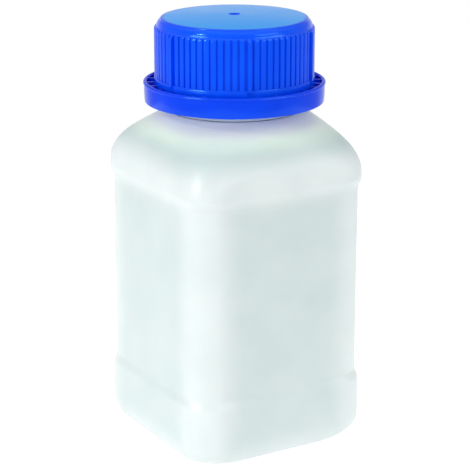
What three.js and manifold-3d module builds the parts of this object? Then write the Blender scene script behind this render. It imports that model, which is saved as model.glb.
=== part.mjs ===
/**
 * A square wide-mouth reagent bottle of 250 ml, blow-moulded in natural HDPE, with a blue
 * tamper-evident screw cap. Millimetres, +Z up, origin at the middle of the base, -Y the front.
 *
 * Four pieces: the bottle, the screw cap, the tamper ring that stays on the neck once its webs
 * are torn, and the sealing disc that lies under the cap's top and closes the mouth.
 */
import * as THREE from 'three';
import { mergeVertices } from 'three/addons/utils/BufferGeometryUtils.js';
import Module from 'manifold-3d';

const wasm = await Module();
wasm.setup();

// Body of the bottle
const SIDE = 60; // across the beads, both ways
const HALF = SIDE / 2;
const CORNER_RADIUS = 9; // of the body's four upright edges
const WALL = 1; // blown wall of the body and shoulder
const PANEL_INSET = 0.8; // the label panels lie this far below the beads
const BEAD_STEP = 1.2; // height of the slope between a bead and a panel
const BASE_BEAD_TOP = 20.4;
const SHOULDER_BEAD_BOTTOM = 82.4;

// Foot: a flat standing band around a shallow push-up
const FOOT_FILLET_WIDTH = 7.2;
const FOOT_FILLET_HEIGHT = 8.4;
const FOOT_EXTRA_CORNER = 4.9; // the corners grow rounder towards the foot
const FOOT_BAND = 2.4; // width of the flat band
const PUSH_UP = 1.6;

// Shoulder: it curves in from the rounded square, and its upper part is a round cone
const SHOULDER_START = 83.4;
const SHOULDER_HEIGHT = 19.8;
const SHOULDER_SWELL = 2.7; // 2 would give an elliptical curve, more keeps it full for longer
const SHOULDER_FALL = 1.1; // 0.5 would meet the neck level, 1 meets it on a straight slope
const SHOULDER_ROUND_FROM = 0.52; // share of the spread at which the section becomes round
const SHOULDER_SQUARING = 0.67; // how the flat sides die away above the bead

// Neck
const NECK_RADIUS = 19.5;
const NECK_WALL = 1.9;
const MOUTH_Z = 126.1;
const MOUTH_ROUNDING = 0.4;
const BEAD_RADIUS = 21; // the bead that the tamper ring hooks under
const BEAD_BOTTOM = 107.8;
const BEAD_LAND = 0.7;
const BEAD_RISE = 1.2;

// Thread, right-handed, on the neck and inside the cap
const THREAD_PITCH = 6;
const THREAD_START_Z = 114.2;
const THREAD_ROOT = 0.9; // half of the ridge's width at its root
const THREAD_CREST = 0.4; // and at its crest
const THREAD_BITE = 0.3; // depth to which the ridge is sunk in its wall
const NECK_THREAD_CREST_RADIUS = 20.9;
const NECK_THREAD_TURNS = 1.5;
const CAP_THREAD_CREST_RADIUS = 19.95;
const CAP_THREAD_TURNS = 1.25;
const THREAD_RUN_OUT = 0.12; // share of the ridge's length over which each end dies away

// Screw cap
const CAP_TOP_Z = 130.3;
const CAP_RIM_RADIUS = 22.1; // where the top meets the chamfer
const CAP_RIM_Z = 129.4;
const CAP_RIM_ROUNDING = 0.5;
const CHAMFER_BOTTOM_Z = 126.9;
const RIB_TOP_Z = 126.2;
const RIB_BOTTOM_Z = 112.2;
const SKIRT_BOTTOM_Z = 108.8;
const SKIRT_RADIUS = 23.5; // over the crests of the fine ribs
const FINE_RIBS = 72;
const FINE_RIB_HEIGHT = 0.35;
const COARSE_RIBS = 6;
const COARSE_RIB_HEIGHT = 0.35; // above the fine ribs
const COARSE_RIB_BOTTOM_Z = 110.8;
const COARSE_RIB_WIDTH = 1.7;
const CAP_INNER_RADIUS = 21.3;
const CAP_CEILING_Z = 127.9;
const CAP_EDGE = 0.3; // small chamfers on the skirt's lower edge
const CAP_TURN = THREE.MathUtils.degToRad(9.4); // how the closed cap stands on the neck

// Tamper ring
const RING_TOP_Z = 110.8;
const RING_BOTTOM_Z = 104.9;
const RING_TOP_RADIUS = 26.95;
const RING_BOTTOM_RADIUS = 26.55;
const RING_WALL = 1;
const RING_ROUNDING = 0.3;
const RING_FLOOR_TOP_Z = 107.4;
const RING_FLOOR_THICKNESS = 1.2;
const RING_HOOK_RADIUS = 20.2; // its hole: wider than the neck, narrower than the bead
const WEBS = 28;
const WEB_WIDTH = 0.8;
const WEB_HEIGHT = 1.2;
const WEB_TOP_Z = 110.4;
const WEB_GAP = 0.3; // to the skirt
const WEB_TURN = THREE.MathUtils.degToRad(11.7); // place of the first web

// Sealing disc
const DISC_RADIUS = 20.8;
const DISC_THICKNESS = 1.1;
const DISC_GAP = 0.35; // to the cap's ceiling and to the mouth
const DISC_EDGE = 0.2;

// Fineness of the curves
const BODY_SEGMENTS = 48;
const CORNER_CROWDING = 0.6; // how much the segments crowd towards the body's corners
const ROUND_SEGMENTS = 60;
const FILLET_STEPS = 5;
const SHOULDER_STEPS = 10;
const THREAD_STEPS_PER_TURN = 30;

const material = (color, roughness) =>
  new THREE.MeshStandardMaterial({ color, roughness, metalness: 0 });
const naturalHdpe = material(0xdde6e3, 0.4);
const bluePolypropylene = material(0x1450ff, 0.28);
const blueRing = material(0x1248f0, 0.3);
const foamedPolyethylene = material(0xf2f2ee, 0.75);

const point = (radius, z) => new THREE.Vector2(radius, z);

/** Revolves a profile of (radius, z) points about +Z. */
function revolve(profile, segments) {
  return new THREE.LatheGeometry(profile, segments).rotateX(Math.PI / 2);
}

/** Turns a closed geometry into a manifold solid, without slivers at the axis. */
function toSolid(geometry) {
  const bare = geometry.clone();
  bare.deleteAttribute('normal');
  bare.deleteAttribute('uv');
  const merged = mergeVertices(bare);
  const index = merged.index.array;
  const triangles = [];
  for (let i = 0; i < index.length; i += 3) {
    const [a, b, c] = index.slice(i, i + 3);
    if (a !== b && b !== c && c !== a) {
      triangles.push(a, b, c);
    }
  }
  return new wasm.Manifold(new wasm.Mesh({
    numProp: 3,
    vertProperties: new Float32Array(merged.attributes.position.array),
    triVerts: new Uint32Array(triangles),
  }));
}

/** Turns a manifold solid back into a geometry. */
function toGeometry(solid) {
  const mesh = solid.getMesh();
  const geometry = new THREE.BufferGeometry();
  geometry.setAttribute('position', new THREE.BufferAttribute(mesh.vertProperties, 3));
  geometry.setIndex(new THREE.BufferAttribute(mesh.triVerts, 1));
  geometry.computeVertexNormals();
  return geometry;
}

/** Distance from the middle of a rounded square to its outline, in the direction of an angle. */
function roundedSquareRadius(angle, halfWidth, corner) {
  const quarter = Math.PI / 2;
  const fromFace = Math.abs(angle - quarter * Math.round(angle / quarter));
  const straight = halfWidth - corner;
  if (Math.tan(fromFace) * halfWidth <= straight) {
    return halfWidth / Math.cos(fromFace);
  }
  const along = straight * (Math.cos(fromFace) + Math.sin(fromFace));
  const across = straight * (Math.cos(fromFace) - Math.sin(fromFace));
  return along + Math.sqrt(corner ** 2 - across ** 2);
}

/** Lofts rounded squares: each station has a half-width, a corner radius and a height. */
function loftRoundedSquares(stations, segments) {
  const geometry = revolve(stations.map(({ halfWidth, z }) => point(halfWidth, z)), segments);
  const position = geometry.attributes.position;
  for (let i = 0; i < position.count; i++) {
    const { halfWidth, corner, z } = stations[i % stations.length];
    const turn = Math.floor(i / stations.length) / segments * 2 * Math.PI;
    const angle = turn + CORNER_CROWDING / 4 * Math.sin(4 * turn);
    const radius = roundedSquareRadius(angle, halfWidth, corner);
    position.setXYZ(i, radius * Math.cos(angle), radius * Math.sin(angle), z);
  }
  return geometry;
}

/** The push-up, the flat standing band and the fillet up to the base bead. */
function footStations() {
  const bandOuter = HALF - FOOT_FILLET_WIDTH;
  const bandInner = bandOuter - FOOT_BAND;
  const corner = CORNER_RADIUS + FOOT_EXTRA_CORNER;
  const stations = [
    { halfWidth: 0, corner: 0, z: PUSH_UP },
    { halfWidth: bandInner * 0.75, corner: bandInner * 0.55, z: PUSH_UP * 0.8 },
    { halfWidth: bandInner, corner: corner - FOOT_BAND, z: 0 },
  ];
  for (let i = 0; i <= FILLET_STEPS; i++) {
    const angle = i / FILLET_STEPS * Math.PI / 2;
    stations.push({
      halfWidth: bandOuter + FOOT_FILLET_WIDTH * Math.sin(angle),
      corner: corner - FOOT_EXTRA_CORNER * Math.sin(angle),
      z: FOOT_FILLET_HEIGHT * (1 - Math.cos(angle)),
    });
  }
  return stations;
}

/** The base bead, the label panels and the shoulder bead. */
function bodyStations() {
  const panel = HALF - PANEL_INSET;
  return [
    [HALF, BASE_BEAD_TOP],
    [panel, BASE_BEAD_TOP + BEAD_STEP],
    [panel, SHOULDER_BEAD_BOTTOM - BEAD_STEP],
    [HALF, SHOULDER_BEAD_BOTTOM],
  ].map(([halfWidth, z]) => ({ halfWidth, corner: CORNER_RADIUS, z }));
}

/** The shoulder, from the body's rounded square to the neck's circle. */
function shoulderStations() {
  const stations = [];
  for (let i = 0; i < SHOULDER_STEPS; i++) {
    const climb = i / SHOULDER_STEPS;
    const spread = (1 - climb ** SHOULDER_SWELL) ** SHOULDER_FALL;
    const squareness = Math.max(spread - SHOULDER_ROUND_FROM, 0) / (1 - SHOULDER_ROUND_FROM);
    const halfWidth = NECK_RADIUS + (HALF - NECK_RADIUS) * spread;
    const straight = (HALF - CORNER_RADIUS) * squareness ** SHOULDER_SQUARING;
    stations.push({
      halfWidth,
      corner: halfWidth - straight,
      z: SHOULDER_START + SHOULDER_HEIGHT * climb,
    });
  }
  return stations;
}

/** The outside of the neck, with the bead that holds the tamper ring. */
function neckStations() {
  return [
    [NECK_RADIUS, SHOULDER_START + SHOULDER_HEIGHT],
    [NECK_RADIUS, BEAD_BOTTOM],
    [BEAD_RADIUS, BEAD_BOTTOM],
    [BEAD_RADIUS, BEAD_BOTTOM + BEAD_LAND],
    [NECK_RADIUS, BEAD_BOTTOM + BEAD_LAND + BEAD_RISE],
    [NECK_RADIUS, MOUTH_Z - MOUTH_ROUNDING],
    [NECK_RADIUS - MOUTH_ROUNDING, MOUTH_Z],
  ].map(([halfWidth, z]) => ({ halfWidth, corner: halfWidth, z }));
}

/** Moves the body's stations inwards by the wall, square to the outside. The first is on the axis. */
function innerStations(outer) {
  return outer.map(({ halfWidth, corner, z }, i) => {
    const before = outer[Math.max(i - 1, 0)];
    const after = outer[Math.min(i + 1, outer.length - 1)];
    const run = after.halfWidth - before.halfWidth;
    const rise = after.z - before.z;
    const inward = WALL * rise / Math.hypot(run, rise);
    return {
      halfWidth: i === 0 ? 0 : halfWidth - inward,
      corner: i === 0 ? 0 : corner - inward,
      z: z + WALL * run / Math.hypot(run, rise),
    };
  });
}

/** A thread's ridge as a solid: out from the wall if crest > root, otherwise in from it. */
function threadRidge(rootRadius, crestRadius, startZ, turns) {
  const outward = Math.sign(crestRadius - rootRadius);
  const height = Math.abs(crestRadius - rootRadius);
  const section = new THREE.Shape([
    point(-THREAD_BITE, -THREAD_ROOT),
    point(height, -THREAD_CREST),
    point(height, THREAD_CREST),
    point(-THREAD_BITE, THREAD_ROOT),
  ]);
  const steps = Math.round(turns * THREAD_STEPS_PER_TURN);
  const ridge = new THREE.ExtrudeGeometry(section, { depth: 1, steps, bevelEnabled: false });
  const position = ridge.attributes.position;
  for (let i = 0; i < position.count; i++) {
    const share = position.getZ(i);
    const toEnd = Math.min(share, 1 - share);
    const fade = THREE.MathUtils.smoothstep(toEnd, -THREAD_RUN_OUT / 4, THREAD_RUN_OUT);
    const reach = position.getX(i) > 0 ? position.getX(i) * fade : -THREAD_BITE;
    const radius = rootRadius + outward * reach;
    const angle = share * turns * 2 * Math.PI;
    const z = startZ + THREAD_PITCH * turns * share - outward * position.getY(i);
    position.setXYZ(i, radius * Math.cos(angle), radius * Math.sin(angle), z);
  }
  return toSolid(ridge);
}

function makeBottle() {
  const body = [...footStations(), ...bodyStations(), ...shoulderStations()];
  const bore = NECK_RADIUS - NECK_WALL;
  const neckInside = [
    { halfWidth: bore + MOUTH_ROUNDING, corner: bore + MOUTH_ROUNDING, z: MOUTH_Z },
    { halfWidth: bore, corner: bore, z: MOUTH_Z - MOUTH_ROUNDING },
    { halfWidth: bore, corner: bore, z: SHOULDER_START + SHOULDER_HEIGHT - NECK_WALL },
  ];
  const inside = innerStations(body).filter(({ halfWidth, z }) => halfWidth > bore || z < HALF);
  const stations = [...body, ...neckStations(), ...neckInside, ...inside.reverse()];
  const shell = toSolid(loftRoundedSquares(stations, BODY_SEGMENTS));
  const thread = threadRidge(
    NECK_RADIUS, NECK_THREAD_CREST_RADIUS, THREAD_START_Z, NECK_THREAD_TURNS);
  return toGeometry(shell.add(thread));
}

/** Pulls every second line of the cap's rib zone in, which leaves the fine ribs standing. */
function cutFineRibs(geometry, profile) {
  const position = geometry.attributes.position;
  const valley = (SKIRT_RADIUS - FINE_RIB_HEIGHT) / SKIRT_RADIUS;
  for (let i = 0; i < position.count; i++) {
    const { x: radius, y: z } = profile[i % profile.length];
    const line = Math.floor(i / profile.length);
    const inRibs = radius === SKIRT_RADIUS && z <= RIB_TOP_Z && z >= RIB_BOTTOM_Z;
    if (inRibs && line % 2 === 1) {
      position.setX(i, position.getX(i) * valley);
      position.setY(i, position.getY(i) * valley);
    }
  }
  return geometry;
}

/** One of the coarse ribs, from just under the chamfer down over the plain band. */
function coarseRib(turn) {
  const bite = 0.6;
  const crest = SKIRT_RADIUS + COARSE_RIB_HEIGHT;
  const inner = SKIRT_RADIUS - bite;
  const outline = new THREE.Shape([
    point(inner, -COARSE_RIB_WIDTH / 2),
    point(crest, -COARSE_RIB_WIDTH / 4),
    point(crest, COARSE_RIB_WIDTH / 4),
    point(inner, COARSE_RIB_WIDTH / 2),
  ]);
  const depth = RIB_TOP_Z - COARSE_RIB_BOTTOM_Z;
  const rib = new THREE.ExtrudeGeometry(outline, { depth, bevelEnabled: false });
  return toSolid(rib.translate(0, 0, COARSE_RIB_BOTTOM_Z).rotateZ(turn));
}

/** The cap's thread, midway between the turns of the neck's once the cap is turned to its place. */
function capThread() {
  const startZ = THREAD_START_Z - THREAD_PITCH / 2 + THREAD_PITCH * CAP_TURN / (2 * Math.PI);
  return threadRidge(CAP_INNER_RADIUS, CAP_THREAD_CREST_RADIUS, startZ, CAP_THREAD_TURNS);
}

function makeCap() {
  const profile = [
    point(0, CAP_CEILING_Z),
    point(CAP_INNER_RADIUS, CAP_CEILING_Z),
    point(CAP_INNER_RADIUS, SKIRT_BOTTOM_Z + CAP_EDGE),
    point(CAP_INNER_RADIUS + CAP_EDGE, SKIRT_BOTTOM_Z),
    point(SKIRT_RADIUS - CAP_EDGE, SKIRT_BOTTOM_Z),
    point(SKIRT_RADIUS, SKIRT_BOTTOM_Z + CAP_EDGE),
    point(SKIRT_RADIUS, RIB_BOTTOM_Z - CAP_EDGE),
    point(SKIRT_RADIUS, RIB_BOTTOM_Z),
    point(SKIRT_RADIUS, RIB_TOP_Z),
    point(SKIRT_RADIUS - CAP_EDGE, CHAMFER_BOTTOM_Z),
    point(CAP_RIM_RADIUS, CAP_RIM_Z),
    point(CAP_RIM_RADIUS - CAP_RIM_ROUNDING, CAP_RIM_Z + CAP_RIM_ROUNDING / 2),
    point(0, CAP_TOP_Z),
  ];
  let cap = toSolid(cutFineRibs(revolve(profile, 2 * FINE_RIBS), profile)).add(capThread());
  for (let i = 0; i < COARSE_RIBS; i++) {
    cap = cap.add(coarseRib(i / COARSE_RIBS * 2 * Math.PI));
  }
  return toGeometry(cap);
}

/** One web: a short bar from the ring's wall to just short of the cap's skirt. */
function web(turn) {
  const inner = SKIRT_RADIUS + WEB_GAP;
  const outer = RING_TOP_RADIUS - RING_WALL / 2;
  const bar = new THREE.BoxGeometry(outer - inner, WEB_WIDTH, WEB_HEIGHT)
    .translate((inner + outer) / 2, 0, WEB_TOP_Z - WEB_HEIGHT / 2)
    .rotateZ(turn);
  return toSolid(bar);
}

function makeRing() {
  const inside = RING_TOP_RADIUS - RING_WALL;
  const floorBottom = RING_FLOOR_TOP_Z - RING_FLOOR_THICKNESS;
  const profile = [
    point(RING_BOTTOM_RADIUS - RING_WALL, RING_BOTTOM_Z),
    point(RING_BOTTOM_RADIUS - RING_ROUNDING, RING_BOTTOM_Z),
    point(RING_BOTTOM_RADIUS, RING_BOTTOM_Z + RING_ROUNDING),
    point(RING_TOP_RADIUS, RING_TOP_Z - RING_ROUNDING),
    point(RING_TOP_RADIUS - RING_ROUNDING, RING_TOP_Z),
    point(inside + RING_ROUNDING, RING_TOP_Z),
    point(inside, RING_TOP_Z - RING_ROUNDING),
    point(inside, RING_FLOOR_TOP_Z),
    point(RING_HOOK_RADIUS, RING_FLOOR_TOP_Z),
    point(RING_HOOK_RADIUS, floorBottom),
    point(RING_BOTTOM_RADIUS - RING_WALL, floorBottom),
  ];
  profile.push(profile[0].clone());
  let ring = toSolid(revolve(profile, ROUND_SEGMENTS));
  for (let i = 0; i < WEBS; i++) {
    ring = ring.add(web(WEB_TURN + i / WEBS * 2 * Math.PI));
  }
  return toGeometry(ring);
}

function makeDisc() {
  const top = CAP_CEILING_Z - DISC_GAP;
  const bottom = top - DISC_THICKNESS;
  return revolve([
    point(0, bottom),
    point(DISC_RADIUS - DISC_EDGE, bottom),
    point(DISC_RADIUS, bottom + DISC_EDGE),
    point(DISC_RADIUS, top - DISC_EDGE),
    point(DISC_RADIUS - DISC_EDGE, top),
    point(0, top),
  ], ROUND_SEGMENTS);
}

function addPiece(parent, name, geometry, pieceMaterial) {
  const mesh = new THREE.Mesh(geometry, pieceMaterial);
  mesh.name = name;
  parent.add(mesh);
  return mesh;
}

const closure = new THREE.Group();
const cap = addPiece(closure, 'screw_cap', makeCap(), bluePolypropylene);
cap.rotation.z = CAP_TURN;
addPiece(closure, 'tamper_ring', makeRing(), blueRing);
addPiece(closure, 'sealing_disc', makeDisc(), foamedPolyethylene);

const reagentBottle = new THREE.Group();
addPiece(reagentBottle, 'bottle', makeBottle(), naturalHdpe);
reagentBottle.add(closure);

export default reagentBottle;
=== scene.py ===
"""A square wide-mouth reagent bottle of natural polyethylene under a blue tamper-evident screw cap.

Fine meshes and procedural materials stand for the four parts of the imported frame, in a plain white
studio. Lengths are millimetres and angles radians, unless a name says otherwise. MM makes metres.
"""
import math

import bmesh
import bpy
import numpy as np
from mathutils import Euler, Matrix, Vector


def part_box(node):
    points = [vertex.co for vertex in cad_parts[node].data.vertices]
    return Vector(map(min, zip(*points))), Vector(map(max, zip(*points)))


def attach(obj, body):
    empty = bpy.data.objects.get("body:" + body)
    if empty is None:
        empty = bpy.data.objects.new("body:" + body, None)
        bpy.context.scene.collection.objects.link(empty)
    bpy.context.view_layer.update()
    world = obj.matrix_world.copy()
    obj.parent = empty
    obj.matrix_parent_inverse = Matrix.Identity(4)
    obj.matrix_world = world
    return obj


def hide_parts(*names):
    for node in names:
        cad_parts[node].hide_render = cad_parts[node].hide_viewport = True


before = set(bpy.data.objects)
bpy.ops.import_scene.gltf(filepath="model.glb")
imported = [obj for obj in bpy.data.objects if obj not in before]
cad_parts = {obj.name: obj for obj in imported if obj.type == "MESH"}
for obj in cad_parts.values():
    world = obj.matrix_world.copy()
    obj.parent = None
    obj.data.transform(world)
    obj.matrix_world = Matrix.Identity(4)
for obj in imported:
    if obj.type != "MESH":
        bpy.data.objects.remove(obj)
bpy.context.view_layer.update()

MM = 0.001
TURN = 2 * math.pi


def extent(node):
    """Half-width, lowest z and highest z of a part of the frame."""
    low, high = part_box(node)
    return (high.x - low.x) / 2 / MM, low.z / MM, high.z / MM


# Bottle
HALF, FOOT_Z, MOUTH_Z = extent("bottle")
CORNER = 9.0  # radius of the body's upright edges
WALL = 1.0
PANEL_INSET = 0.8
PANEL_CROWN = 0.3  # the label panels stand out this far more along their upright middle line
PANEL_BULGE = 0.25  # and this far again halfway up it
BEAD_ROLL = 3.6  # height over which a bead rolls into a panel
BASE_BEAD_EDGE_Z = FOOT_Z + 21.0  # middle of that roll
SHOULDER_BEAD_EDGE_Z = FOOT_Z + 81.4
FOOT_FILLET_WIDTH = 7.2
FOOT_FILLET_HEIGHT = 8.4
FOOT_EXTRA_CORNER = 4.9
FOOT_BAND = 2.4
PUSH_UP = 1.6  # the base's middle stands this far above its foot band
WAVE = 0.05  # slight unevenness of the blown wall
WAVES = ((1, 2, 17, 0), (0.7, 5, -9, 1), (0.5, 9, 6, 2))  # share, waves round, height, start
WAVE_FREE_RADIUS = 15.0  # no unevenness this near the axis
PARTING_HEIGHT = 0.09
PARTING_WIDTH = 0.35
PARTING_ANGLE = math.radians(135)  # the mould's two halves meet on this diagonal
PINCH_HEIGHT = 0.45  # weld under the base where the parison was pinched
PINCH_WIDTH = 0.8
PINCH_LENGTH = 17.0

# Shoulder: it curves in from the rounded square, and its upper part is a round cone
SHOULDER_Z = FOOT_Z + 83.4
SHOULDER_HEIGHT = 19.8
SHOULDER_SWELL = 2.7  # power of the curve's start: higher holds the width for longer
SHOULDER_FALL = 1.1  # power of its end: near 1 ends in a cone
SHOULDER_ROUND_FROM = 0.25  # share of the way out at which the cone begins to turn square
SHOULDER_SQUARING = 1.45  # power of the sides' growth from there
SHOULDER_SOFTENING = 7.0  # height over which its outline turns into an even curve
SHOULDER_END = 0.97  # share of its height at which the neck's rows take over

# Neck
NECK_RADIUS = 19.5
NECK_WALL = 1.9
NECK_ROOT_FILLET = 2.6
BEAD_RADIUS = 21.0
BEAD_Z = MOUTH_Z - 18.3  # flat underside of the bead that holds the tamper ring
BEAD_LAND = 0.7
BEAD_RISE = 1.2

# Thread, right-handed
THREAD_PITCH = 6.0
THREAD_START_Z = MOUTH_Z - 11.9
THREAD_ROOT = 0.9  # half-width of the ridge at its root
THREAD_CREST = 0.4  # and at its crest
THREAD_RUN_OUT = 0.12  # share of its length over which each end fades
THREAD_ROW = 0.24  # height of a row of the mesh on the neck
CAP_THREAD_ROW = 0.26  # and on the cap's inner wall
NECK_THREAD_HEIGHT = 1.4
NECK_THREAD_TURNS = 1.5
CAP_THREAD_HEIGHT = 1.35
CAP_THREAD_TURNS = 1.25

# Screw cap
SKIRT_Z, CAP_TOP_Z = extent("screw_cap")[1:]
CAP_TURN = math.radians(9.4)
CAP_DOME = 0.85  # the top falls this far from its middle to its rim
CAP_RIM_RADIUS = 21.75
ROLL_TOP = (21.95, CAP_TOP_Z - 1.3)  # the convex roll between the top and the ribs: radius, z
ROLL_BOTTOM = (23.0, CAP_TOP_Z - 3.2)
ROLL_BULGE = 0.22
GATE_RADIUS = 1.7  # the sunk injection gate in the middle of the top
GATE_DEPTH = 1.1
GATE_STUB_RADII = (0.75, 0.5)  # the broken stub in its middle, at its foot and at its end
GATE_STUB_HEIGHT = 0.8
SKIRT_RADIUS = 23.7  # over the fine ribs' crests
GROOVE_DEPTH = 0.55
FINE_RIBS = 72
COARSE_RIBS = 6
COARSE_RIB_HEIGHT = 0.6
COARSE_RIB_WIDTH = 0.68  # of a fine rib's width
RIB_TOP_Z = CAP_TOP_Z - 3.3
RIB_BOTTOM_Z = CAP_TOP_Z - 18.1
COARSE_TOP_Z = CAP_TOP_Z - 3.8
COARSE_BOTTOM_Z = CAP_TOP_Z - 19.4
RIB_PLACES = (-0.42, -0.33, -0.18, 0, 0.18, 0.33, 0.42, 0.5)  # a rib's columns, across its pitch
CREST_EDGE = (0.32, 0.43)  # places where its crest ends and the groove begins
CREST_CROWN = 0.05  # the crest falls this far towards its edges
FINE_END = 0.8  # height over which a fine rib's top rounds off
COARSE_END = 0.9  # and a coarse rib's
BAND_RADIUS = 23.75  # the plain band under the ribs
CAP_INNER_RADIUS = 21.3
CAP_CEILING_Z = CAP_TOP_Z - 2.4

# Tamper ring
RING_RADIUS, RING_BOTTOM_Z, RING_TOP_Z = extent("tamper_ring")
RING_LIP = (0.15, 0.7)  # how far its rim stands out past the frame's ring, and its height
RING_TAPER = 0.1
RING_BULGE = 0.1
RING_WALL = 1.0
RING_FLOOR_Z = RING_TOP_Z - 3.4
RING_FLOOR_THICKNESS = 1.2
RING_HOOK_RADIUS = 20.2
WEBS = 28
WEB_WIDTH = 0.8
WEB_TOP_Z = RING_TOP_Z - 0.4
WEB_BOTTOM_Z = RING_TOP_Z - 1.6
WEB_END_RADIUS = 23.86
WEB_FLARE = 0.25  # length of the wide root on the ring's wall
WEB_NECK_SHARE = 0.78  # its width past the root, as a share of WEB_WIDTH
WEB_END_SHARE = 0.62  # and at its end
WEB_TURN = math.radians(11.7)

# Sealing disc
DISC_FILLET = 0.25
DISC_RADIUS, DISC_BOTTOM_Z, DISC_TOP_Z = extent("sealing_disc")

# Meshes
BODY_COLUMNS = 256  # keeps the body's mesh under 200,000 faces
CORNER_CROWDING = 0.6  # how much the body's columns crowd towards its corners
ROUND_COLUMNS = 192  # round the disc
PLAIN_ROW = 2.0  # height or width of a row of the mesh where the surface has no detail
SHARP_ANGLE = math.radians(38)  # edges bent more than this aren't smoothed over
DIAGONAL_LIMIT = 1.37  # a square's 1.414 would need a superellipse of endless power

# How white the wall is painted, from 0 to 1: partly by its thickness, partly painted light, as a
# painted highlight, painted shade and painted fill
PANEL_WHITENESS = 0.2
EDGE_WHITENESS_AND_HIGHLIGHT = 0.28  # more at the body's upright edges, partly as a painted highlight
FOOT_WHITENESS = 0.16  # more at the foot
# the shoulder bead: partly a whiter thick wall, partly a painted highlight band
BEAD_WHITENESS_AND_HIGHLIGHT = 0.52
# the neck: partly whiter by its thickness, partly a painted fill of the shade under the ring
NECK_WHITENESS_AND_FILL = 0.6

# How scuffed the surface is, where 1 is the foot and the ribs' crests
BEAD_WEAR = 0.7
CAP_RIM_WEAR = 0.6

# Linear colours
# The bottle's colour runs from this grey to this white, partly by the wall's thickness and partly as
# painted highlight, painted shade and painted glow
HDPE_GREY = (0.515, 0.625, 0.61)
HDPE_WHITE = (0.87, 0.89, 0.9)
# A paler, greener colour painted under the ring as a painted fill of its shade and blue bounce
HDPE_PAINTED_FILL = (0.84, 1.0, 0.82)
CAP_BLUE = (0.001, 0.075, 0.9)
CAP_DEEP_BLUE = (0.001, 0.064, 0.85)
# The ring has a darker copy of the cap's blue as painted shade: it is the same polypropylene
RING_SHADED_BLUE = (0.001, 0.042, 0.8)
RING_SHADED_DEEP_BLUE = (0.001, 0.036, 0.75)
# The paler blue of the top's flat is a painted sheen
PAINTED_SHEEN_BLUE = (0.001, 0.345, 1.0)
FOAM_DULL = (0.84, 0.84, 0.81)
FOAM_BRIGHT = (0.9, 0.9, 0.88)


def smooth(low, high, value):
    """0 below low, 1 above high, and an S-curve between them."""
    share = np.clip((value - low) / (high - low), 0, 1)
    return share * share * (3 - 2 * share)


def rounded(corners, steps=5):
    """A profile through (radius, z, fillet) corners, as an array of (radius, z)."""
    points = []
    for i, (radius, z, fillet) in enumerate(corners):
        corner = np.array([radius, z])
        if fillet == 0:
            points.append(corner)
            continue
        before = np.array(corners[i - 1][:2]) - corner
        after = np.array(corners[(i + 1) % len(corners)][:2]) - corner
        before = before / np.linalg.norm(before)
        after = after / np.linalg.norm(after)
        inside = math.acos(float(before @ after))
        bisector = (before + after) / np.linalg.norm(before + after)
        centre = corner + bisector * fillet / math.sin(inside / 2)
        first = corner + before * fillet / math.tan(inside / 2) - centre
        last = corner + after * fillet / math.tan(inside / 2) - centre
        sweep = math.pi - inside
        for k in range(steps + 1):
            share = k / steps
            blend = first * math.sin((1 - share) * sweep) + last * math.sin(share * sweep)
            points.append(centre + blend / math.sin(sweep))
    return np.array(points)


def refined(path, step):
    """The path with its long stretches cut into equal steps no longer than step."""
    points = [path[0]]
    for a, b in zip(path, path[1:]):
        count = max(1, math.ceil(np.linalg.norm(b - a) / step))
        points += [a + (b - a) * k / count for k in range(1, count + 1)]
    return np.array(points)


def arc(start, end, bulge, steps):
    """Points from start to end on an arc that stands out by bulge, to the left of the way."""
    start, end = np.array(start), np.array(end)
    along = end - start
    out = np.array([along[1], -along[0]]) / np.linalg.norm(along)
    share = np.linspace(0, 1, steps + 1)[:, None]
    return start + along * share + out * bulge * 4 * share * (1 - share)


def thread(angle, z, start_z, turns, height):
    """How far the thread's ridge stands from its wall at each angle and height."""
    stands = np.zeros(np.broadcast(angle, z).shape)
    for lap in range(math.ceil(turns) + 1):
        travelled = np.mod(angle, TURN) + TURN * lap
        share = travelled / (TURN * turns)
        off = np.abs(z - start_z - THREAD_PITCH * travelled / TURN)
        to_end = np.minimum(share, 1 - share)
        fade = smooth(-THREAD_RUN_OUT / 4, THREAD_RUN_OUT, to_end) * (to_end > 0)
        ridge = 1 - smooth(THREAD_CREST * 0.8, THREAD_ROOT * 1.1, off)
        stands = np.maximum(stands, ridge * fade)
    return stands * height


def skin(rows, name, looped=False):
    """A closed mesh through rows of points round the axis. The end rows meet at a point, unless
    looped joins the last row to the first."""
    rows = np.asarray(rows) * MM
    columns = rows.shape[1]
    inner = rows if looped else rows[1:-1]
    vertices = inner.reshape(-1, 3)
    lines = len(inner)
    index = np.arange(lines * columns).reshape(lines, columns)
    ahead = np.roll(index, -1, axis=1)
    if looped:
        low, high = index, np.roll(index, -1, axis=0)
        low_ahead, high_ahead = ahead, np.roll(ahead, -1, axis=0)
    else:
        low, high = index[:-1], index[1:]
        low_ahead, high_ahead = ahead[:-1], ahead[1:]
    faces = np.stack([low, low_ahead, high_ahead, high], axis=-1).reshape(-1, 4).tolist()
    if not looped:
        first, last = len(vertices), len(vertices) + 1
        vertices = np.vstack([vertices, rows[0].mean(axis=0), rows[-1].mean(axis=0)])
        faces += [[first, b, a] for a, b in zip(index[0].tolist(), ahead[0].tolist())]
        faces += [[last, a, b] for a, b in zip(index[-1].tolist(), ahead[-1].tolist())]
    mesh = bpy.data.meshes.new(name)
    mesh.from_pydata(vertices.tolist(), [], faces)
    mesh.validate()
    return mesh


def around(radius, angle, z):
    """Rows of points round the axis."""
    x = radius * np.cos(angle)
    y = radius * np.sin(angle)
    return np.stack([x, y, np.broadcast_to(z, x.shape)], axis=-1)


def revolved(profile, angles):
    """Rows of points: each profile point (radius, z) at each angle."""
    return around(profile[:, :1], angles, profile[:, 1:])


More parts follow.
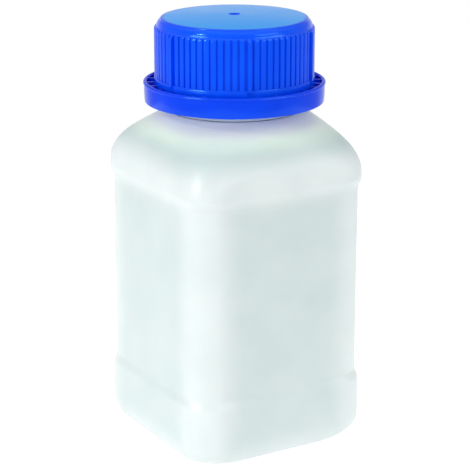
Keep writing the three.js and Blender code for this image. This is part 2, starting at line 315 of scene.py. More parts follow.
def add_field(mesh, name, amount):
    """Stores a value at each vertex for the materials to read. "rub" tells where the surface is
    scuffed, the whiteness field how white the bottle's wall is painted, partly from its thickness and
    partly as painted highlight, painted shade and painted glow, "neck" where the shoulder meets the
    neck and a painted fill lightens the shade under the ring, and the matt field where the cap is
    finely textured and painted paler as a painted sheen."""
    points = np.array([v.co for v in mesh.vertices]) / MM
    attribute = mesh.attributes.new(name, "FLOAT", "POINT")
    attribute.data.foreach_set("value", amount(points).astype(np.float32))


def add_piece(name, mesh, body, node, material):
    """Makes the mesh a piece that stands for a node and rides on its body."""
    mesh.materials.append(material)
    mesh.shade_smooth()
    mesh.set_sharp_from_angle(angle=SHARP_ANGLE)
    piece = bpy.data.objects.new(name, mesh)
    bpy.context.scene.collection.objects.link(piece)
    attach(piece, body)
    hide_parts(node)
    return piece


# ---------------------------------------------------------------- bottle


def foot_rows():
    """Half-width, corner radius and z from the middle of the base to the top of the foot fillet."""
    band_outer = HALF - FOOT_FILLET_WIDTH
    band_inner = band_outer - FOOT_BAND
    corner = CORNER + FOOT_EXTRA_CORNER
    inner_corner = corner - FOOT_BAND
    rows = []
    for share in np.linspace(0, 1, 22):
        half = band_inner * share
        squareness = (1 - inner_corner / band_inner) * share ** 2
        rows.append((half, half * (1 - squareness), FOOT_Z + PUSH_UP * (1 - share ** 5)))
    rows.append((band_inner + 0.3, inner_corner + 0.3, FOOT_Z))
    for angle in np.linspace(0, math.pi / 2, 22):
        rows.append((
            band_outer + FOOT_FILLET_WIDTH * math.sin(angle),
            corner - FOOT_EXTRA_CORNER * math.sin(angle),
            FOOT_Z + FOOT_FILLET_HEIGHT * (1 - math.cos(angle)),
        ))
    return rows


def side_rows():
    """The base bead, the label panels and the shoulder bead."""
    low = BASE_BEAD_EDGE_Z - BEAD_ROLL / 2
    high = SHOULDER_BEAD_EDGE_Z + BEAD_ROLL / 2
    heights = np.concatenate([
        np.linspace(FOOT_Z + FOOT_FILLET_HEIGHT, low, 6)[1:],
        np.linspace(low, low + BEAD_ROLL, 13)[1:],
        np.linspace(low + BEAD_ROLL, high - BEAD_ROLL, 28)[1:],
        np.linspace(high - BEAD_ROLL, high, 13)[1:],
    ])
    sunk = smooth(low, low + BEAD_ROLL, heights) * smooth(-high, BEAD_ROLL - high, -heights)
    return [(HALF - PANEL_INSET * s, CORNER, z) for s, z in zip(sunk, heights)]


def shoulder_rows():
    """From the shoulder bead almost to the neck. The neck's rows carry it on from there."""
    rows = []
    for climb in np.linspace(0, SHOULDER_END, 46):
        spread = (1 - climb ** SHOULDER_SWELL) ** SHOULDER_FALL
        squareness = max(spread - SHOULDER_ROUND_FROM, 0) / (1 - SHOULDER_ROUND_FROM)
        half = NECK_RADIUS + (HALF - NECK_RADIUS) * spread
        straight = (HALF - CORNER) * squareness ** SHOULDER_SQUARING
        rows.append((half, half - straight, SHOULDER_Z + SHOULDER_HEIGHT * climb))
    return rows


def neck_rows(shoulder_end):
    """From the shoulder's end, up the outside of the neck, over the mouth and down the bore."""
    root_z = SHOULDER_Z + SHOULDER_HEIGHT
    bore = NECK_RADIUS - NECK_WALL
    land_z = BEAD_Z + BEAD_LAND
    profile = rounded([
        (shoulder_end[0], shoulder_end[2], 0),
        (NECK_RADIUS, root_z, NECK_ROOT_FILLET),
        (NECK_RADIUS, BEAD_Z, 0.3),
        (BEAD_RADIUS, BEAD_Z, 0.2),
        (BEAD_RADIUS, land_z, 0.3),
        (NECK_RADIUS, land_z + BEAD_RISE, 0.5),
        (NECK_RADIUS, MOUTH_Z, 0.4),
        (bore, MOUTH_Z, 0.5),
        (bore, root_z - NECK_WALL, 0),
    ])
    top = int(np.argmax(profile[:, 1] > MOUTH_Z - 0.6))
    outside = refined(profile[:top + 1], THREAD_ROW)
    inside = refined(profile[top:], PLAIN_ROW)
    path = np.vstack([outside, inside[1:]])
    return [(radius, radius, z) for radius, z in path]


def inner_rows(outer):
    """The inside of the wall below the bore: the outer rows moved in by the wall, from the top down."""
    outer = np.array(outer)
    run = np.gradient(outer[:, 0])
    rise = np.gradient(outer[:, 2])
    length = np.hypot(run, rise)
    inward = WALL * rise / length
    half = outer[:, 0] - inward
    corner = outer[:, 1] - inward
    z = outer[:, 2] + WALL * run / length
    half[0] = corner[0] = 0
    low_down = z < HALF
    keep = (half > NECK_RADIUS - NECK_WALL) | low_down
    rows = np.stack([half, np.maximum(corner, 0), z], axis=-1)[keep][::-1]
    if len(rows) % 2 == 0:
        return np.vstack([rows[::2], rows[-1:]]).tolist()
    return rows[::2].tolist()


def rounded_square(half, corner, angle, softness):
    """Distance from the middle of a rounded square to its outline, for each row and angle. Softness
    blends it into a superellipse of the same width and diagonal, whose sides curve all the way."""
    quarter = math.pi / 2
    off = np.abs(angle - quarter * np.round(angle / quarter))
    straight = half - corner
    along = straight * (np.cos(off) + np.sin(off))
    across = straight * (np.cos(off) - np.sin(off))
    on_corner = along + np.sqrt(np.maximum(corner ** 2 - across ** 2, 0))
    square = np.where(np.tan(off) * half <= straight, half / np.cos(off), on_corner)
    diagonal = np.minimum((straight * math.sqrt(2) + corner) / half, DIAGONAL_LIMIT)
    power = 1 / (0.5 - np.log2(diagonal))
    even = half * (np.abs(np.cos(off)) ** power + np.abs(np.sin(off)) ** power) ** (-1 / power)
    return square + (even - square) * softness


def unevenness(angle, z):
    """The blown wall isn't quite true: long soft waves, in millimetres."""
    waves = sum(share * np.sin(count * angle + z / height + start)
                for share, count, height, start in WAVES)
    along_body = smooth(FOOT_Z + 6, FOOT_Z + 24, z) * (1 - smooth(MOUTH_Z - 36, MOUTH_Z - 26, z))
    return WAVE * waves * along_body


def crown_panels(points):
    """Bulges the label panels a little."""
    x, y, z = points[..., 0], points[..., 1], points[..., 2]
    middle = (BASE_BEAD_EDGE_Z + SHOULDER_BEAD_EDGE_Z) / 2
    reach = (SHOULDER_BEAD_EDGE_Z - BASE_BEAD_EDGE_Z) / 2
    halfway_up = 1 - np.clip(((z - middle) / reach) ** 2, 0, 1)
    on_panel = 1 - smooth(reach - BEAD_ROLL / 2, reach + BEAD_ROLL / 2, np.abs(z - middle))
    on_x = np.abs(x) > np.abs(y)
    beside = np.where(on_x, y, x)
    across = np.clip(1 - (beside / (HALF - CORNER)) ** 2, 0, 1) ** 2
    out = (PANEL_CROWN * on_panel + PANEL_BULGE * halfway_up) * across
    points[..., 0] += np.where(on_x, np.sign(x) * out, 0)
    points[..., 1] += np.where(on_x, 0, np.sign(y) * out)


def make_bottle(material):
    """One closed wall: up the outside from the middle of the base, over the mouth, down the inside."""
    body = foot_rows() + side_rows() + shoulder_rows()
    neck = neck_rows(body[-1])
    outside_count = len(body) + int(np.argmax([row[2] for row in neck])) + 1
    rows = np.array(body + neck[1:] + inner_rows(body))
    half, corner, z = (rows[:, k:k + 1] for k in range(3))
    turn = np.arange(BODY_COLUMNS) / BODY_COLUMNS * TURN
    angle = turn + CORNER_CROWDING / 4 * np.sin(4 * turn)
    softness = smooth(SHOULDER_Z - 1, SHOULDER_Z + SHOULDER_SOFTENING, z)
    radius = rounded_square(np.maximum(half, 1e-6), corner, angle, softness)
    radius = radius + unevenness(angle, z) * (radius > WAVE_FREE_RADIUS)
    outside = (np.arange(len(rows)) < outside_count)[:, None]
    on_thread = outside & (z > BEAD_Z + BEAD_LAND + BEAD_RISE)
    ridge = thread(angle, z, THREAD_START_Z, NECK_THREAD_TURNS, NECK_THREAD_HEIGHT)
    radius = radius + np.where(on_thread, ridge, 0)
    beside = radius * np.sin(angle - PARTING_ANGLE)
    parting = PARTING_HEIGHT * np.exp(-(beside / PARTING_WIDTH) ** 2)
    on_wall = outside & (z > FOOT_Z + 1) & (z < MOUTH_Z - 1) & (radius > NECK_RADIUS - 0.5)
    radius = radius + np.where(on_wall, parting, 0)
    points = around(radius, angle, z)
    crown_panels(points)
    along = radius * np.cos(angle - PARTING_ANGLE)
    pinch = PINCH_HEIGHT * np.exp(-(beside / PINCH_WIDTH) ** 4)
    pinch = pinch * (1 - smooth(PINCH_LENGTH - 2, PINCH_LENGTH, np.abs(along)))
    under = outside & (z < FOOT_Z + PUSH_UP + 0.01)
    points[..., 2] -= np.where(under, pinch, 0)
    mesh = skin(points, "bottle_body")

    def rubbed(p):
        """Bottles touch each other at their beads and slide on their feet."""
        side = np.maximum(np.abs(p[:, 0]), np.abs(p[:, 1]))
        bead = smooth(HALF - 0.5, HALF, side)
        foot = 1 - smooth(FOOT_Z + 0.2, FOOT_Z + 3, p[:, 2])
        return np.maximum(BEAD_WEAR * bead, foot)

    def whiteness_and_painted_light(p):
        """The wall is thin in the panels and thicker, so whiter, in the beads and the body's edges,
        where a painted highlight is added too. The shoulder is painted at the darkest colour as painted
        shade, and the neck whiter, partly as a painted fill of the shade under the ring. The inside is
        painted white as a painted glow, for the light that comes back from all round it."""
        near = np.minimum(np.abs(p[:, 0]), np.abs(p[:, 1]))
        edge = smooth(HALF - CORNER - 7, HALF - CORNER + 3, near)
        foot = 1 - smooth(FOOT_Z + 3, FOOT_Z + 12, p[:, 2])
        body = PANEL_WHITENESS + np.maximum(EDGE_WHITENESS_AND_HIGHLIGHT * edge, FOOT_WHITENESS * foot)
        bead = smooth(SHOULDER_BEAD_EDGE_Z - 5, SHOULDER_BEAD_EDGE_Z + 2, p[:, 2])
        # painted highlight: the band over the shoulder bead is painted whiter
        body = body + np.maximum(BEAD_WHITENESS_AND_HIGHLIGHT - body, 0) * bead
        # painted shade: the shoulder is painted down to the darkest colour
        body = body * (1 - smooth(SHOULDER_Z + 3, SHOULDER_Z + 13, p[:, 2]))
        # the neck: whiter by its thickness and as a painted fill of the shade under the ring
        above = NECK_WHITENESS_AND_FILL * smooth(BEAD_Z - 6, BEAD_Z - 1, p[:, 2])
        # painted glow: the inside is painted fully white
        inner = np.arange(len(p)) >= (outside_count - 1) * BODY_COLUMNS
        return np.where(inner, 1, np.maximum(body, above))

    def neck(p):
        """The shoulder's top, just under the neck's bead, painted paler and greener as a painted fill
        of the shade and blue bounce under the ring.
        """
        root = smooth(SHOULDER_Z + 10, SHOULDER_Z + 17, p[:, 2])
        return root * (1 - smooth(BEAD_Z - 6, BEAD_Z - 1, p[:, 2]))

    add_field(mesh, "whiteness_and_painted_light", whiteness_and_painted_light)
    add_field(mesh, "neck", neck)
    add_field(mesh, "rub", rubbed)
    return add_piece("bottle_body", mesh, "bottle", "bottle", material)


# ---------------------------------------------------------------- screw cap


def cap_columns():
    """The angle of each column from the first rib, and its place in its rib, from -0.5 to 0.5."""
    place = np.tile(RIB_PLACES, FINE_RIBS)
    rib = np.repeat(np.arange(FINE_RIBS), len(RIB_PLACES))
    coarse = rib % (FINE_RIBS // COARSE_RIBS) == 0
    narrowed = np.where(coarse & (place < 0.5), place * COARSE_RIB_WIDTH, place)
    return (rib + narrowed) / FINE_RIBS * TURN, place, coarse


def cap_inside():
    """From the middle of the ceiling, down the threaded wall to the skirt's edge."""
    profile = rounded([
        (0, CAP_CEILING_Z, 0),
        (CAP_INNER_RADIUS, CAP_CEILING_Z, 0.4),
        (CAP_INNER_RADIUS, SKIRT_Z, 0.3),
        (SKIRT_RADIUS, SKIRT_Z, 0.3),
        (SKIRT_RADIUS, SKIRT_Z + 1, 0),
    ], 3)
    return profile[:-1]


def cap_rows():
    """The cap's profile, inside first, and which of its points are on the outside."""
    inside = cap_inside()
    bottom = int(np.argmin(inside[:, 1]))
    threaded = refined(inside[1:bottom + 1], CAP_THREAD_ROW)
    ceiling = refined(inside[:2], 2 * PLAIN_ROW)
    inside = np.vstack([ceiling, threaded[1:], inside[bottom + 1:]])
    band = [(BAND_RADIUS, z) for z in (SKIRT_Z + 0.8, SKIRT_Z + 2, RIB_BOTTOM_Z - 0.22)]
    lip = [(BAND_RADIUS - 0.03, RIB_BOTTOM_Z - 0.1), (BAND_RADIUS - 0.12, RIB_BOTTOM_Z)]
    heights = np.concatenate([
        [RIB_BOTTOM_Z + 0.08, RIB_BOTTOM_Z + 0.3],
        np.linspace(RIB_BOTTOM_Z + 1, COARSE_TOP_Z - 1, 8),
        np.linspace(COARSE_TOP_Z - 0.9, RIB_TOP_Z, 12),
    ])
    ribs = [(SKIRT_RADIUS - GROOVE_DEPTH, z) for z in heights]
    roll = arc(ROLL_BOTTOM, ROLL_TOP, ROLL_BULGE, 10)
    rim_z = CAP_TOP_Z - CAP_DOME
    rim = rounded([
        (*ROLL_TOP, 0),
        (CAP_RIM_RADIUS + 0.08, ROLL_TOP[1] + 0.12, 0.08),
        (CAP_RIM_RADIUS, rim_z, 0.35),
        (CAP_RIM_RADIUS - 2, rim_z + 0.12, 0),
    ], 4)[1:-1]
    dome_radius = np.linspace(CAP_RIM_RADIUS - 1.2, GATE_RADIUS + 0.8, 12)
    dome = [(r, CAP_TOP_Z - CAP_DOME * (r / CAP_RIM_RADIUS) ** 2) for r in dome_radius]
    floor_z = CAP_TOP_Z - GATE_DEPTH
    gate = rounded([
        (GATE_RADIUS + 0.6, CAP_TOP_Z, 0),
        (GATE_RADIUS, CAP_TOP_Z, 0.12),
        (GATE_RADIUS - 0.25, floor_z, 0.12),
        (GATE_STUB_RADII[0], floor_z, 0.08),
        (GATE_STUB_RADII[1], floor_z + GATE_STUB_HEIGHT - 0.05, 0.12),
        (0, floor_z + GATE_STUB_HEIGHT, 0),
    ], 3)
    profile = np.vstack([inside, band, lip, ribs, roll, rim, dome, gate])
    outside = np.arange(len(profile)) >= len(inside)
    return profile, outside


def make_cap(material):
    """One closed wall: down the threaded inside from the ceiling, up the ribs, in to the gate."""
    profile, outside = cap_rows()
    outside = outside[:, None]
    local, place, is_coarse = cap_columns()
    radius = np.broadcast_to(profile[:, :1], (len(profile), len(local))).copy()
    z = profile[:, 1:]
    crest = 1 - smooth(*CREST_EDGE, np.abs(place))
    crown = CREST_CROWN * (np.minimum(np.abs(place), RIB_PLACES[5]) / RIB_PLACES[5]) ** 2
    fine_end = np.clip((RIB_TOP_Z - z) / FINE_END, 0, 1)
    fine = np.sqrt(1 - (1 - fine_end) ** 2) * (z > RIB_BOTTOM_Z + 0.05)
    in_ribs = outside & (profile[:, :1] == SKIRT_RADIUS - GROOVE_DEPTH)
    radius += np.where(in_ribs, (GROOVE_DEPTH * crest - crown * crest) * fine, 0)
    coarse_end = np.clip((COARSE_TOP_Z - z) / COARSE_END, 0, 1)
    coarse = np.sqrt(1 - (1 - coarse_end) ** 2) * smooth(COARSE_BOTTOM_Z, COARSE_BOTTOM_Z + 0.4, z)
    stands = SKIRT_RADIUS + COARSE_RIB_HEIGHT - radius
    lift = crest * coarse * is_coarse
    radius += np.where(outside & (z < COARSE_TOP_Z) & (z > SKIRT_Z + 0.5), stands * lift, 0)
    start_z = THREAD_START_Z - THREAD_PITCH / 2 + THREAD_PITCH * CAP_TURN / TURN
    ridge = thread(local, z, start_z, CAP_THREAD_TURNS, CAP_THREAD_HEIGHT)
    on_wall = ~outside & (profile[:, :1] > CAP_INNER_RADIUS - 0.01) & (z > SKIRT_Z + 0.5)
    radius -= np.where(on_wall, ridge, 0)
    mesh = skin(around(radius, local + CAP_TURN, z), "cap_moulding")

    def rubbed(p):
        """Fingers and boxes rub the ribs' crests and the top's rim."""
        reach = np.hypot(p[:, 0], p[:, 1])
        crests = smooth(SKIRT_RADIUS - 0.12, SKIRT_RADIUS + 0.3, reach)
        rim = smooth(CAP_RIM_RADIUS - 1.2, CAP_RIM_RADIUS, reach) * (p[:, 2] > ROLL_TOP[1])
        return np.maximum(crests, CAP_RIM_WEAR * rim)

    def matt_and_sheen(p):
        """The flat of the top has a fine matt texture, which makes it rougher, and is painted a paler
        blue as a painted sheen.
        """
        reach = np.hypot(p[:, 0], p[:, 1])
        on_top = (p[:, 2] > CAP_TOP_Z - CAP_DOME - 0.2) & (reach > GATE_RADIUS + 0.05)
        return on_top * (1 - smooth(CAP_RIM_RADIUS - 0.9, CAP_RIM_RADIUS - 0.4, reach))

    add_field(mesh, "rub", rubbed)
    add_field(mesh, "matt_and_sheen", matt_and_sheen)
    return add_piece("cap_moulding", mesh, "cap", "screw_cap", material)


# ---------------------------------------------------------------- tamper ring


def ring_profile():
    """The ring's section as a loop, up its outside first."""
    inside = RING_RADIUS - RING_WALL
    lip_radius = RING_RADIUS + RING_LIP[0]
    lip_z = RING_TOP_Z - RING_LIP[1]
    wall_radius = RING_RADIUS - 0.2
    low_radius = wall_radius - RING_TAPER
    low_z = RING_BOTTOM_Z - 0.15
    floor_bottom = RING_FLOOR_Z - RING_FLOOR_THICKNESS
    wall_low = (low_radius + 0.02, low_z + 0.3)
    wall_high = (wall_radius, lip_z - 0.25)
    wall = arc(wall_low, wall_high, RING_BULGE, 10)
    start = rounded([
        (inside - RING_TAPER, low_z, 0),
        (low_radius, low_z, 0.12),
        (*wall_low, 0),
    ], 4)[1:-1]
    rest = rounded([
        (*wall_high, 0),
        (lip_radius - 0.03, lip_z, 0.1),
        (lip_radius, RING_TOP_Z, 0.55),
        (inside, RING_TOP_Z, 0.38),
        (inside, WEB_TOP_Z - 0.001, 0),
        (inside, WEB_BOTTOM_Z, 0),
        (inside, RING_FLOOR_Z, 0.4),
        (RING_HOOK_RADIUS, RING_FLOOR_Z, 0.2),
        (RING_HOOK_RADIUS, floor_bottom, 0.2),
        (inside - RING_TAPER, floor_bottom, 0.3),
        (inside - RING_TAPER, low_z, 0.2),
        (low_radius - 0.1, low_z, 0),
    ], 4)[1:-1]
    return np.vstack([start, wall, rest])


def make_ring(material):
    """The ring, with its webs grown from the faces that its inner wall has at their height."""
    profile = ring_profile()
    inside = RING_RADIUS - RING_WALL
    half_web = WEB_WIDTH / 2 / inside
    pitch = TURN / WEBS
    offsets = np.concatenate([[-half_web], np.linspace(half_web, pitch - half_web, 7)[:-1]])
    angles = (WEB_TURN + np.arange(WEBS)[:, None] * pitch + offsets).ravel()
    mesh = skin(revolved(profile, angles), "ring_moulding", looped=True)
    web_row = int(np.argmin(np.abs(profile[:, 1] - WEB_TOP_Z) + np.abs(profile[:, 0] - inside)))
    work = bmesh.new()
    work.from_mesh(mesh)
    work.faces.ensure_lookup_table()
    first_faces = [work.faces[web_row * len(angles) + k * len(offsets)] for k in range(WEBS)]
    for k, grown in enumerate(first_faces):
        middle = WEB_TURN + k * pitch
        radial = Vector((math.cos(middle), math.sin(middle), 0))
        for reach, share in ((WEB_FLARE, WEB_NECK_SHARE), (inside - WEB_END_RADIUS, WEB_END_SHARE)):
            grown = bmesh.ops.extrude_discrete_faces(work, faces=[grown])["faces"][0]
            for vertex in grown.verts:
                beside = vertex.co - radial * vertex.co.dot(radial)
                beside.z = 0
                flat = radial * (inside - reach) * MM
                aside = beside.normalized() * WEB_WIDTH / 2 * share * MM
                vertex.co = flat + aside + Vector((0, 0, vertex.co.z))
    work.to_mesh(mesh)
    work.free()

    def rubbed(p):
        """The wall's upper edge is what gets knocked."""
        reach = np.hypot(p[:, 0], p[:, 1])
        return smooth(RING_TOP_Z - 0.4, RING_TOP_Z, p[:, 2]) * (reach > inside - 0.2)

    add_field(mesh, "rub", rubbed)
    return add_piece("ring_moulding", mesh, "ring", "tamper_ring", material)


# ---------------------------------------------------------------- sealing disc


def make_disc(material):
    """The flat liner between the cap's ceiling and the neck's rim."""
    profile = rounded([
        (0, DISC_BOTTOM_Z, 0),
        (DISC_RADIUS, DISC_BOTTOM_Z, DISC_FILLET),
        (DISC_RADIUS, DISC_TOP_Z, DISC_FILLET),
        (0, DISC_TOP_Z, 0),
    ], 4)
    profile = refined(profile, PLAIN_ROW)
    angles = np.arange(ROUND_COLUMNS) / ROUND_COLUMNS * TURN
    mesh = skin(revolved(profile, angles), "disc_foam")
    add_field(mesh, "rub", lambda p: np.zeros(len(p)))
    return add_piece("disc_foam", mesh, "seal", "sealing_disc", material)


# ---------------------------------------------------------------- materials


def add_node(tree, kind, inputs, **settings):
    """Adds a node and gives each of its inputs a value or another node's socket."""
    node = tree.nodes.new(kind)
    for name, value in settings.items():
        setattr(node, name, value)
    for socket, value in inputs.items():
        if isinstance(value, bpy.types.NodeSocket):
            tree.links.new(value, node.inputs[socket])
        else:
            node.inputs[socket].default_value = value
    return node


class Nodes:
    """A material's node tree with one Principled shader."""

    def __init__(self, name, **values):
        self.material = bpy.data.materials.new(name)
        self.material.use_nodes = True
        self.tree = self.material.node_tree
        self.shader = next(n for n in self.tree.nodes if n.type == "BSDF_PRINCIPLED")
        for socket, value in values.items():
            self.shader.inputs[socket.replace("_", " ")].default_value = value
        self.place = self.tree.nodes.new("ShaderNodeTexCoord").outputs["Object"]

    def add(self, kind, inputs, **settings):
        return add_node(self.tree, kind, inputs, **settings)

    def noise(self, size, detail=2.0, stretch=(1, 1, 1), roughness=0.5):
        """Noise with features of about size millimetres, longer along an axis by its stretch."""
        scale = [1 / (size * MM * s) for s in stretch]
        place = self.add("ShaderNodeMapping", {"Vector": self.place, "Scale": scale}).outputs[0]
        return self.add("ShaderNodeTexNoise", {
            "Vector": place, "Scale": 1.0, "Detail": detail, "Roughness": roughness,
        }).outputs["Fac"]

    def spread(self, value, low, high, start=0.3, end=0.7):
        """Maps a value from start..end to low..high."""
        return self.add("ShaderNodeMapRange", {
            "Value": value, "From Min": start, "From Max": end, "To Min": low, "To Max": high,
        }).outputs["Result"]

    def plus(self, a, b):
        return self.add("ShaderNodeMath", {0: a, 1: b}, operation="ADD").outputs[0]

    def times(self, a, b):
        return self.add("ShaderNodeMath", {0: a, 1: b}, operation="MULTIPLY").outputs[0]

    def colours(self, share, a, b):
        """A blend of two linear colours. Each can be a socket."""
        a, b = (c if isinstance(c, bpy.types.NodeSocket) else (*c, 1) for c in (a, b))
        return self.add("ShaderNodeMix", {0: share, 6: a, 7: b}, data_type="RGBA").outputs[2]

    def field(self, name):
        return self.add("ShaderNodeAttribute", {}, attribute_name=name).outputs["Fac"]

    def bump(self, height, distance, strength, normal=None):
        inputs = {"Height": height, "Distance": distance * MM, "Strength": strength}
        if normal is not None:
            inputs["Normal"] = normal
        return self.add("ShaderNodeBump", inputs).outputs["Normal"]

    def feed(self, socket, value):
        self.tree.links.new(value, self.shader.inputs[socket])


def natural_hdpe():
    """Undyed polyethylene: milky, satin, with faint clouds, draw lines and a scuffed foot."""
    nodes = Nodes("natural_hdpe", IOR=1.54, Specular_IOR_Level=0.65, Subsurface_Weight=0.9,
                  Subsurface_Scale=1.2 * MM, Subsurface_Radius=(0.8, 1.0, 1.0))
    clouds = nodes.noise(14, 3)
    lines = nodes.noise(1.6, 2, (1, 1, 30))
    grain = nodes.noise(0.35, 3)
    scuffs = nodes.noise(0.9, 4, (1, 1, 1), 0.65)
    # the whiteness field carries painted highlight, painted shade and painted glow along with the
    # wall's whiteness
    white = nodes.plus(nodes.field("whiteness_and_painted_light"), nodes.spread(clouds, -0.05, 0.07))
    body = nodes.colours(white, HDPE_GREY, HDPE_WHITE)
    # painted fill: a paler, greener colour under the ring, against the ring's shade and blue bounce
    nodes.feed("Base Color", nodes.colours(nodes.field("neck"), body, HDPE_PAINTED_FILL))
    rough = nodes.spread(clouds, 0.36, 0.42)
    rough = nodes.plus(rough, nodes.spread(lines, -0.02, 0.02))
    worn = nodes.times(nodes.field("rub"), nodes.spread(scuffs, 0, 0.16, 0.45, 0.65))
    nodes.feed("Roughness", nodes.plus(rough, worn))
    soft = nodes.bump(lines, 0.02, 0.5)
    nodes.feed("Normal", nodes.bump(grain, 0.012, 0.6, soft))
    return nodes.material


def blue_polypropylene(name, colour, deep):
    """Injection-moulded polypropylene, dyed through, with a fine orange peel and rubbed crests."""
    nodes = Nodes(name, IOR=1.49, Specular_Tint=(0.25, 0.9, 1, 1))
    flow = nodes.noise(9, 3)
    peel = nodes.noise(0.5, 2)
    scuffs = nodes.noise(0.6, 4, (1, 1, 1), 0.65)
    matt_and_sheen = nodes.field("matt_and_sheen")
    body = nodes.colours(nodes.spread(flow, 0, 1), deep, colour)
    # painted sheen: the flat of the top is painted a paler blue
    nodes.feed("Base Color", nodes.colours(matt_and_sheen, body, PAINTED_SHEEN_BLUE))
    rough = nodes.plus(nodes.spread(flow, 0.12, 0.17), nodes.times(matt_and_sheen, 0.1))
    worn = nodes.times(nodes.field("rub"), nodes.spread(scuffs, 0, 0.12, 0.45, 0.65))
    nodes.feed("Roughness", nodes.plus(rough, worn))
    nodes.feed("Normal", nodes.bump(peel, 0.01, 0.6))
    return nodes.material


def foamed_polyethylene():
    """White closed-cell foam."""
    nodes = Nodes("foamed_polyethylene", IOR=1.45, Subsurface_Weight=0.3, Subsurface_Scale=2 * MM)
    cells = nodes.add("ShaderNodeTexVoronoi", {"Vector": nodes.place, "Scale": 1 / (0.45 * MM)})
    tint = nodes.noise(3, 3)
    nodes.feed("Base Color", nodes.colours(nodes.spread(tint, 0, 1), FOAM_DULL, FOAM_BRIGHT))
    nodes.feed("Roughness", nodes.spread(cells.outputs["Distance"], 0.85, 0.6, 0, 0.5))
    nodes.feed("Normal", nodes.bump(cells.outputs["Distance"], 0.05, 0.6))
    return nodes.material


# ---------------------------------------------------------------- studio

CAMERA_AZIMUTH = math.radians(-31.09)
CAMERA_PITCH = math.radians(16.92)
CAMERA_AT = Vector((-268.9, -446.3, 221.0))
CAMERA_LENS_MM = 137.07
CAMERA_SENSOR_MM = 36
CAMERA_CLIP_M = (0.05, 30)

FLOOR_HALF = 330.0
FLOOR_GAP = 0.1  # the floor lies this far under the foot
FLOOR_GREY = 0.25
FLOOR_GLOW = 0.92  # makes up its white, whatever shade falls on it
STUDIO_FILL = 0.31  # radiance of the room
STUDIO_FRONT = 0.52  # and of its part low down in front
STUDIO_BACK = 0.5  # more from low down behind, which the cap's top reflects
STUDIO_ABOVE = 1.12  # radiance overhead

# Name, azimuth and elevation in degrees, distance, width and height, and watts. Azimuth 0 stands in
# front, on -Y, and positive angles go round towards +X.
SOFTBOXES = (
    ("left", -84, 12, 800, (320, 320), 2.35),
    ("right_high", 25, 38, 900, (500, 300), 1.08),
    ("right_low", 22, 12, 900, (700, 160), 1.6),
    ("left_glint", -86, 38, 800, (110, 60), 0.95),
)


def add_camera():
    """It looks from above, across one of the bottle's upright edges."""
    data = bpy.data.cameras.new("camera")
    data.lens = CAMERA_LENS_MM
    data.sensor_width = CAMERA_SENSOR_MM
    data.clip_start, data.clip_end = CAMERA_CLIP_M
    camera = bpy.data.objects.new("camera", data)
    camera.location = CAMERA_AT * MM
    camera.rotation_euler = Euler((math.pi / 2 - CAMERA_PITCH, 0, CAMERA_AZIMUTH))
    bpy.context.scene.collection.objects.link(camera)
    bpy.context.scene.camera = camera


def add_floor():
    """A plain white floor that takes almost no shadow."""
    mesh = bpy.data.meshes.new("floor")
    reach = FLOOR_HALF * MM
    corners = [(-reach, -reach, 0), (reach, -reach, 0), (reach, reach, 0), (-reach, reach, 0)]
    mesh.from_pydata(corners, [], [(0, 1, 2, 3)])
    nodes = Nodes("floor", Base_Color=(FLOOR_GREY, FLOOR_GREY, FLOOR_GREY, 1), Roughness=0.9,
                  Specular_IOR_Level=0, Emission_Color=(1, 1, 1, 1), Emission_Strength=FLOOR_GLOW)
    mesh.materials.append(nodes.material)
    floor = bpy.data.objects.new("floor", mesh)
    floor.location.z = (FOOT_Z - FLOOR_GAP) * MM
    bpy.context.scene.collection.objects.link(floor)


def add_softbox(name, azimuth, elevation, distance, size, watts):
    """A rectangular light that looks at the object's middle and isn't seen itself."""
    data = bpy.data.lights.new(name, "AREA")
    data.shape = "RECTANGLE"
    data.size, data.size_y = size[0] * MM, size[1] * MM
    data.energy = watts
    lamp = bpy.data.objects.new(name, data)
    round_by, up_by = math.radians(azimuth), math.radians(elevation)
    back = Vector((math.sin(round_by) * math.cos(up_by), -math.cos(round_by) * math.cos(up_by),
                   math.sin(up_by)))
    lamp.location = back * distance * MM + Vector((0, 0, MOUTH_Z / 2 * MM))
    lamp.rotation_euler = back.to_track_quat("Z", "Y").to_euler()
    lamp.visible_camera = False
    bpy.context.scene.collection.objects.link(lamp)


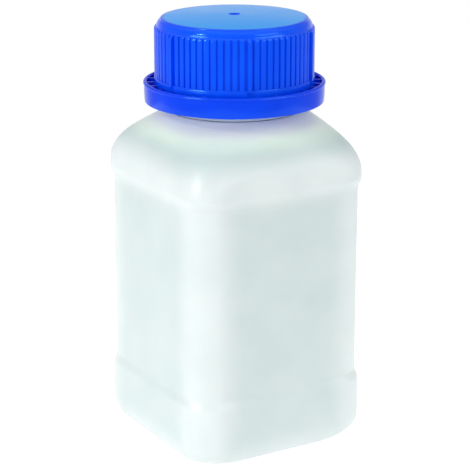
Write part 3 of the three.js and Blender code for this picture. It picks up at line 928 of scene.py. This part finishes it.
def set_world():
    """White to the camera. To the object, a dim room that is brighter low down in front and behind,
    and overhead."""
    world = bpy.data.worlds.new("studio")
    world.use_nodes = True
    tree = world.node_tree

    def add(kind, inputs, **settings):
        return add_node(tree, kind, inputs, **settings).outputs

    def ramp(value, start, end, low, high):
        return add("ShaderNodeMapRange", {
            "Value": value, "From Min": start, "From Max": end, "To Min": low, "To Max": high,
        }, interpolation_type="SMOOTHSTEP")["Result"]

    # facing goes from 1 in front of the object to -1 behind it, and height is 1 straight up
    way = add("ShaderNodeTexCoord", {})["Generated"]
    front = (math.sin(CAMERA_AZIMUTH), -math.cos(CAMERA_AZIMUTH), 0)
    facing = add("ShaderNodeVectorMath", {0: way, 1: front}, operation="DOT_PRODUCT")["Value"]
    height = add("ShaderNodeSeparateXYZ", {"Vector": way})["Z"]
    extra = ramp(facing, -0.8, 0, 0, STUDIO_FRONT - STUDIO_FILL)
    in_front = add("ShaderNodeMath", {0: extra, 1: ramp(height, 0.35, 0.7, 1, 0)},
                   operation="MULTIPLY")["Value"]
    behind = add("ShaderNodeMath", {0: ramp(facing, -0.95, -0.5, STUDIO_BACK, 0),
                                    1: ramp(height, 0.05, 0.32, 1, 0)}, operation="MULTIPLY")["Value"]
    above = ramp(height, 0.5, 0.95, STUDIO_FILL, STUDIO_ABOVE)
    light = add("ShaderNodeMath", {0: in_front, 1: above}, operation="ADD")["Value"]
    light = add("ShaderNodeMath", {0: light, 1: behind}, operation="ADD")["Value"]
    seen = add("ShaderNodeLightPath", {})["Is Camera Ray"]
    strength = add("ShaderNodeMath", {0: seen, 1: light}, operation="MAXIMUM")["Value"]
    background = tree.nodes["Background"]
    background.inputs["Color"].default_value = (1, 1, 1, 1)
    tree.links.new(strength, background.inputs["Strength"])
    bpy.context.scene.world = world


add_camera()
make_bottle(natural_hdpe())
make_cap(blue_polypropylene("blue_polypropylene", CAP_BLUE, CAP_DEEP_BLUE))
# The ring takes a darker copy of the cap's blue, painted shade
make_ring(blue_polypropylene("blue_polypropylene_ring_shaded", RING_SHADED_BLUE, RING_SHADED_DEEP_BLUE))
make_disc(foamed_polyethylene())
add_floor()
for softbox in SOFTBOXES:
    add_softbox(*softbox)
set_world()
bpy.context.scene.view_settings.view_transform = "Standard"
